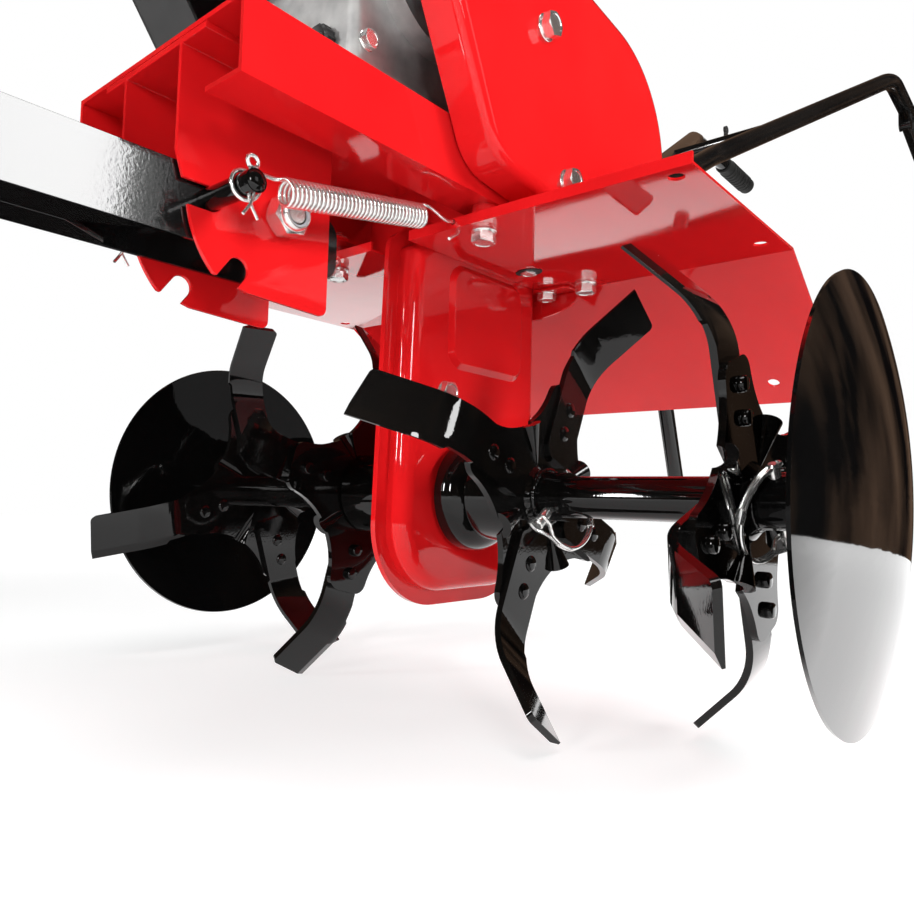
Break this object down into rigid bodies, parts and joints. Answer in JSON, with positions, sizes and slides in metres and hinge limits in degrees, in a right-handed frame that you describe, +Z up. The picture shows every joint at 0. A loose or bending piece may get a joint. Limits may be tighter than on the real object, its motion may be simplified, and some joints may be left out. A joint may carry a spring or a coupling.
{
  "type": "garden tiller",
  "caption": "Petrol garden tiller: pressed chain case and folded fenders over riveted bolo tines with plant discs, belt clutch, latched front wheel arm, drag bar and tilting handlebars.",
  "frame": {"origin": "centre of the footprint at the level of the lowest tine tip", "axes": "+Z up, -Y forward to the front wheel, +X to the machine's left"},
  "size_m": [0.704, 1.846, 0.9708],
  "materials": {
    "red_paint": "gloss red enamel on pressed sheet",
    "black_paint": "gloss black enamel",
    "black_frame": "semi-gloss black enamel",
    "zinc_steel": "bright zinc plate",
    "bare_steel": "oiled steel",
    "cast_alloy": "as-cast alloy",
    "black_plastic": "moulded, fine texture",
    "grip_rubber": "soft moulded rubber",
    "tyre_rubber": "ribbed tyre rubber",
    "belt_rubber": "fabric-faced V-belt",
    "seal_rubber": "oil seal",
    "rope_nylon": "braided cord",
    "hot_steel": "heat-proof paint"
  },
  "bodies": {
    "machine": {"chain_case_left": "red_paint", "chain_case_right": "red_paint", "shaft_bearings": "bare_steel", "shaft_seals": "seal_rubber", "drive_chain": "bare_steel", "drive_belt": "belt_rubber", "fender_left": "red_paint", "fender_right": "red_paint", "chassis": "red_paint", "wheel_bracket": "red_paint", "pivot_bolt": "zinc_steel", "belt_cover": "red_paint", "frame_bolts": "zinc_steel", "engine_block": "cast_alloy", "cylinder_head": "cast_alloy", "valve_cover": "black_plastic", "fan_shroud": "black_plastic", "recoil_cover": "black_plastic", "fuel_tank": "red_paint", "air_cleaner": "black_plastic", "carburettor": "cast_alloy", "muffler": "hot_steel", "spark_plug": "zinc_steel", "handle_bracket": "black_frame", "drag_clamp": "zinc_steel", "latch_springs": "zinc_steel", "starter_rope": "rope_nylon"},
    "tine_rotor": {"tine_shaft": "bare_steel", "driven_sprocket": "bare_steel", "inner_rotor_left": "black_paint", "inner_rotor_right": "black_paint", "outer_rotor_left": "black_paint", "outer_rotor_right": "black_paint", "inner_blades_left": "black_paint", "inner_blades_right": "black_paint", "outer_blades_left": "black_paint", "outer_blades_right": "black_paint", "blade_rivets": "black_paint", "disc_left": "black_paint", "disc_right": "black_paint", "rotor_pins": "zinc_steel"},
    "input": {"input_shaft": "bare_steel", "drive_sprocket": "bare_steel", "driven_pulley": "bare_steel"},
    "crank": {"engine_pulley": "bare_steel"},
    "front_arm": {"wheel_arm": "black_frame", "arm_pins": "black_paint"},
    "front_wheel": {"wheel_rim": "red_paint", "wheel_tyre": "tyre_rubber"},
    "drag": {"drag_bar": "black_frame"},
    "handle": {"handlebar_left": "black_frame", "handlebar_right": "black_frame", "hand_grips": "grip_rubber"},
    "clutch": {"clutch_lever": "black_frame"},
    "throttle": {"throttle_lever": "black_plastic"},
    "idler": {"idler_arm": "black_frame"},
    "idler_wheel": {"idler_pulley": "bare_steel"},
    "starter": {"starter_grip": "black_plastic"},
    "tank_cap": {"fuel_cap": "black_plastic"}
  },
  "joints": [
    {"name": "tine_spin", "type": "hinge", "parent": "machine", "child": "tine_rotor", "pos_m": [0, -0.302, 0.17575], "axis": [1, 0, 0], "continuous": true},
    {"name": "input_spin", "type": "hinge", "parent": "machine", "child": "input", "pos_m": [0, -0.245, 0.48575], "axis": [1, 0, 0], "continuous": true},
    {"name": "crank_spin", "type": "hinge", "parent": "machine", "child": "crank", "pos_m": [0, -0.417, 0.54675], "axis": [1, 0, 0], "continuous": true},
    {"name": "arm_pull", "type": "slide", "parent": "machine", "child": "front_arm", "axis": [0, -1, 0], "range_m": [0, 0.032], "stiffness_N_per_m": 6000, "springref_m": -0.01, "deforming": ["latch_springs"]},
    {"name": "wheel_spin", "type": "hinge", "parent": "front_arm", "child": "front_wheel", "pos_m": [0, -0.803, 0.34375], "axis": [1, 0, 0], "continuous": true},
    {"name": "drag_slide", "type": "slide", "parent": "machine", "child": "drag", "axis": [0, 0.342, -0.9397], "range_m": [-0.06, 0.06]},
    {"name": "handle_tilt", "type": "hinge", "parent": "machine", "child": "handle", "pos_m": [0, -0.087, 0.48075], "axis": [1, 0, 0], "range_deg": [-12, 12]},
    {"name": "clutch_squeeze", "type": "hinge", "parent": "handle", "child": "clutch", "pos_m": [0.175, 0.748, 0.87875], "axis": [1, 0, 0], "range_deg": [0, 9], "stiffness_Nm_per_rad": 3, "springref_deg": -14.32},
    {"name": "throttle_turn", "type": "hinge", "parent": "handle", "child": "throttle", "pos_m": [-0.153, 0.738, 0.91075], "axis": [1, 0, 0], "range_deg": [-30, 30]},
    {"name": "idler_swing", "type": "hinge", "parent": "machine", "child": "idler", "pos_m": [0.101, -0.32, 0.41675], "axis": [-1, 0, 0], "range_deg": [0, 10]},
    {"name": "idler_spin", "type": "hinge", "parent": "idler", "child": "idler_wheel", "pos_m": [0.115, -0.38112, 0.44138], "axis": [1, 0, 0], "continuous": true},
    {"name": "starter_pull", "type": "slide", "parent": "machine", "child": "starter", "axis": [0, 0.7071, 0.7071], "range_m": [0, 0.5], "stiffness_N_per_m": 15, "springref_m": -0.4, "deforming": ["starter_rope"]},
    {"name": "cap_twist", "type": "hinge", "parent": "machine", "child": "tank_cap", "pos_m": [-0.04, -0.362, 0.74575], "axis": [0, 0, 1], "range_deg": [0, 90]}
  ],
  "couplings": [
    {"joint": "input_spin", "follows": "tine_spin", "ratio": 3},
    {"joint": "idler_swing", "follows": "clutch_squeeze", "ratio": 1.1101}
  ]
}
